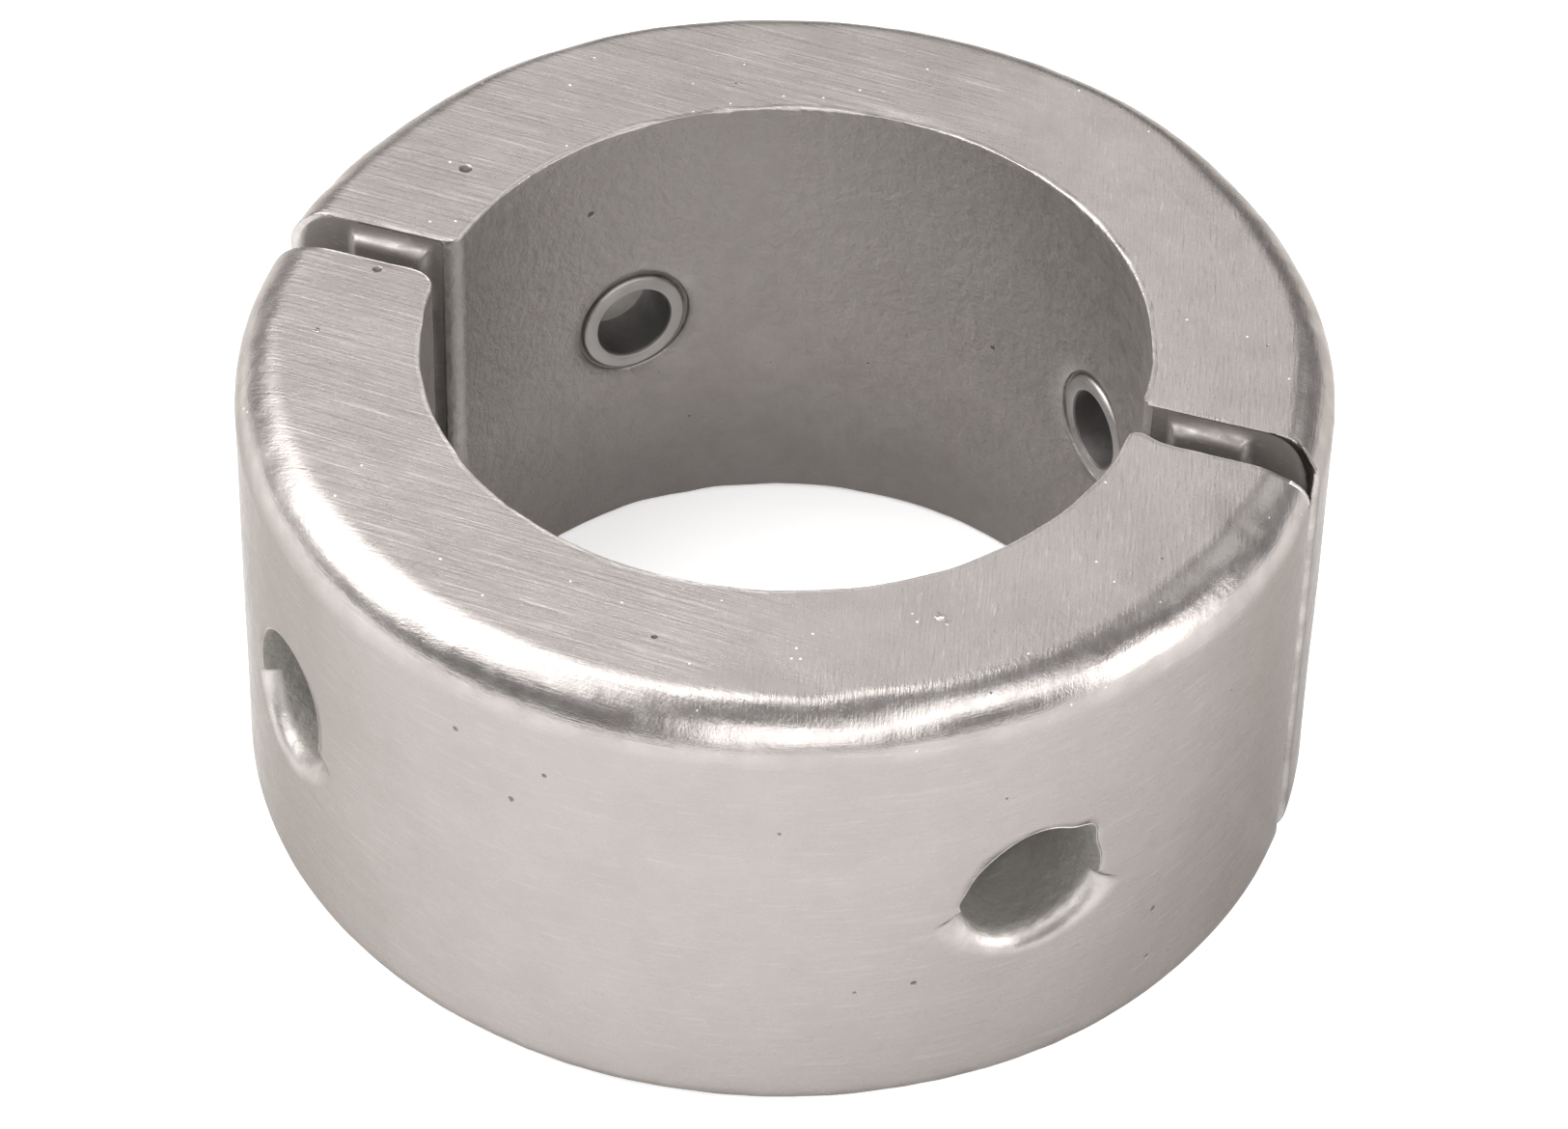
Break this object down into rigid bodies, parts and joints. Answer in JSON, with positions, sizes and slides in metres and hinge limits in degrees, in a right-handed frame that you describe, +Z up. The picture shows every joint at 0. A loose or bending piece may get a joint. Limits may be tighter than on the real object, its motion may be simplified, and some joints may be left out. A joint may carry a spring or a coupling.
{
  "type": "shaft collar",
  "caption": "Two-piece cast ring that clamps round a shaft, with bushed radial screw holes at mid-height and a recessed pocket for each screw head.",
  "frame": {"origin": "on the shaft's axis, in the plane of the collar's bottom face, where the closed halves meet", "axes": "+Z up along the shaft; the halves meet at the plane Y = 0, rear half on +Y and front half on -Y; +X to the right seen from the front half"},
  "size_m": [0.1098, 0.1121, 0.053],
  "materials": {
    "casting": "satin, linished on the top, with cast pits and filed edges",
    "ferrule": "turned, dull",
    "strap": "plain rolled bar, hidden inside the casting"
  },
  "bodies": {
    "rear_half": {"rear_half_casting": "casting", "rear_core_strap": "strap", "rear_ferrule_left": "ferrule", "rear_ferrule_right": "ferrule"},
    "front_half": {"front_half_casting": "casting", "front_core_strap": "strap", "front_ferrule_left": "ferrule", "front_ferrule_right": "ferrule"}
  },
  "joints": [
    {"name": "front_half_slide", "type": "slide", "parent": "rear_half", "child": "front_half", "axis": [0, -1, 0], "range_m": [-0.0021, 0.04]}
  ]
}
